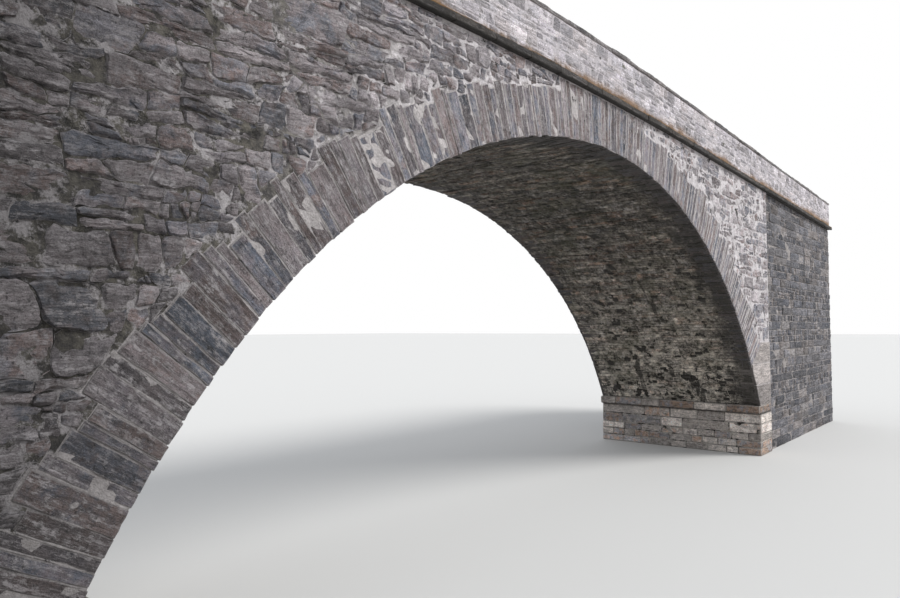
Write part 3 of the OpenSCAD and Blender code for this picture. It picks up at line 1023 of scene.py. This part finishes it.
parapet_mortar_colour = (0.74, 0.70, 0.74)
parapet_stone = stone_paint("parapet_stone", [
    (0.56, 0.525, 0.58), (0.65, 0.61, 0.66), (0.70, 0.66, 0.70), (0.60, 0.58, 0.635),
    (0.74, 0.695, 0.73), (0.67, 0.61, 0.63)], parapet_mortar_colour, lichen=0.7, damp=0.15,
    left=0.3, marks=parapet_marks)
parapet_mortar = mortar_paint("parapet_mortar", parapet_mortar_colour, 0.1, left=0.3, green=0.6,
                              marks=parapet_marks)
finish_nodes(parapet_mortar, "parapet")
coping_t = 0.09
coping_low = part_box("coping_front_right")[1].z - coping_t
parapet_gap = 0.004
parapet_tall = coping_low - string_top - 0.008
for face in ("front", "back"):
    low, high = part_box(f"parapet_{face}_right")
    for name, plane_y, out_y in (("front", low.y, -1), ("back", high.y, 1)):
        seed += 1
        rng = random.Random(seed)
        bm = lay(rng, 2 * half_l, parapet_tall, (0.09, 0.19), (0.16, 0.46), 0.12, 0.15)
        warp(bm, 0.022, 0.3, seed)
        hold_inside(bm, 0.0, 2 * half_l, 0.0, parapet_tall)
        open_joints(bm, 0.010)
        wear_corners(bm, 12)
        raise_stones(bm, rng, (0.002, 0.008), 0.010, 0.007, rings=1)
        for v in bm.verts:
            v.co.x -= half_l
            v.co.y += string_top + parapet_gap - fall(v.co.x)
        stand(bm, plane_y, out_y)
        keep(bm, f"parapet_stones_{face}_{name}", "parapet_stone", parapet_stone)
    end_z = string_top - fall(half_l) + parapet_gap
    for side, mirror in (("left", -1), ("right", 1)):
        seed += 1
        rng = random.Random(seed)
        bm = lay(rng, high.y - low.y, parapet_tall, (0.10, 0.20), (0.18, 0.35), 0.06, 0.0)
        open_joints(bm, 0.014)
        wear_corners(bm, 12)
        raise_stones(bm, rng, (0.002, 0.012), 0.010, 0.006)
        for v in bm.verts:
            v.co = Vector((mirror * (half_l + v.co.z), low.y + v.co.x, end_z + v.co.y))
        keep(bm, f"parapet_end_{face}_{side}", "parapet_stone", parapet_stone)


# Thin slabs cap the parapets, bedded in mortar. They are of several lengths, overhang a little,
# and are dark with damp and lichen.
coping_stone = stone_paint("coping_stone", [
    (0.10, 0.10, 0.12), (0.20, 0.185, 0.19), (0.29, 0.27, 0.275), (0.15, 0.14, 0.145),
    (0.25, 0.225, 0.22)], (0.38, 0.35, 0.35), lichen=0.7, damp=0.7, left=0.3)
for face in ("front", "back"):
    seed += 1
    slab_row(random.Random(seed), "coping", face, coping_stone, coping_low, (0.4, 1.0), 0.01, 0.02)


# The road is a bed of packed fine stone, laid on the filling between the parapets. It is worn
# into two wheel tracks, with moss at its edges.
road = Paint("road_surface")
track_y = 0.8
across = road.axis("Y")
tracks = across.math("PINGPONG", across + track_y, track_y)
worn = road.step(tracks, 0.25, 0.6)
stones = road.noise(34.0, 6.0, 0.8)
packed = road.mix(worn, (0.26, 0.245, 0.225), (0.17, 0.165, 0.15))
edge_moss = road.step(abs(across), 1.5, 1.95) * road.step(road.noise(3.0, 6.0), 0.4, 0.6)
road_colour = road.mix(edge_moss, road.shade(packed, stones * 1.5 + 0.25), (0.09, 0.10, 0.035))
finish_nodes(road.finish(road_colour, 0.95 - stones * 0.1, stones, 0.02), "roadway")


# A plain pale floor and a white backdrop, which show to the camera and in reflections. What they
# throw on the stone is plainer: the light of an even sky, and of the ground under the vault.
def is_seen(paint):
    """1 where the camera, a reflection or something transparent looks, and 0 for other light."""
    ray = paint.node("ShaderNodeLightPath", {}, {}, "Is Camera Ray")
    for name in ("Is Glossy Ray", "Is Transmission Ray"):
        ray = ray.most(paint.node("ShaderNodeLightPath", {}, {}, name))
    return ray


floor_bm = bmesh.new()
bmesh.ops.create_grid(floor_bm, x_segments=1, y_segments=1, size=400.0)
floor_mesh = bpy.data.meshes.new("floor")
floor_bm.to_mesh(floor_mesh)
floor_bm.free()
floor = put("floor", floor_mesh)
ground = Paint("floor")
shown = ground.mix(is_seen(ground), (0.40, 0.375, 0.345), (0.60, 0.60, 0.595))
ground.tree.links.new(shown.socket, ground.shader.inputs["Base Color"])
ground.shader.inputs["Roughness"].default_value = 0.9
floor_mesh.materials.append(ground.material)

sky = Paint("sky", bpy.data.worlds.new("sky"))
bpy.context.scene.world = sky.material
lit = sky.node("ShaderNodeBackground", {}, {"Color": (0.93, 0.96, 1.0), "Strength": 0.85})
white = sky.node("ShaderNodeBackground", {}, {"Color": (1.0, 1.0, 1.0), "Strength": 1.0})
choice = sky.node("ShaderNodeMixShader", {}, {0: is_seen(sky), 1: lit, 2: white})
sky.tree.links.new(choice.socket, sky.tree.nodes["World Output"].inputs["Surface"])

sun_data = bpy.data.lights.new("sun", "SUN")
sun_data.energy = 2.6
sun_data.angle = math.radians(25)
sun_data.color = (1.0, 0.98, 0.95)
sun = put("sun", sun_data)
sun.rotation_euler = (math.radians(48), 0.0, math.radians(32))

# The camera stands at the photograph's viewpoint, low and close to the left foot of the arch,
# and looks along the face to the right.
camera_data = bpy.data.cameras.new("camera")
camera_data.sensor_width = 36.0
camera_data.lens = 27.44
camera_data.clip_end = 1000.0
camera = put("camera", camera_data)
eye = Vector((-11.337, -face_y - 5.835, spring_z + 2.181))
turn_right = 0.8696
look_up = 0.0433
roll = -0.0033
camera.matrix_world = (Matrix.Translation(eye) @ Matrix.Rotation(-turn_right, 4, "Z")
                       @ Matrix.Rotation(math.radians(90) + look_up, 4, "X")
                       @ Matrix.Rotation(roll, 4, "Z"))
bpy.context.scene.camera = camera
bpy.context.scene.view_settings.view_transform = "Standard"
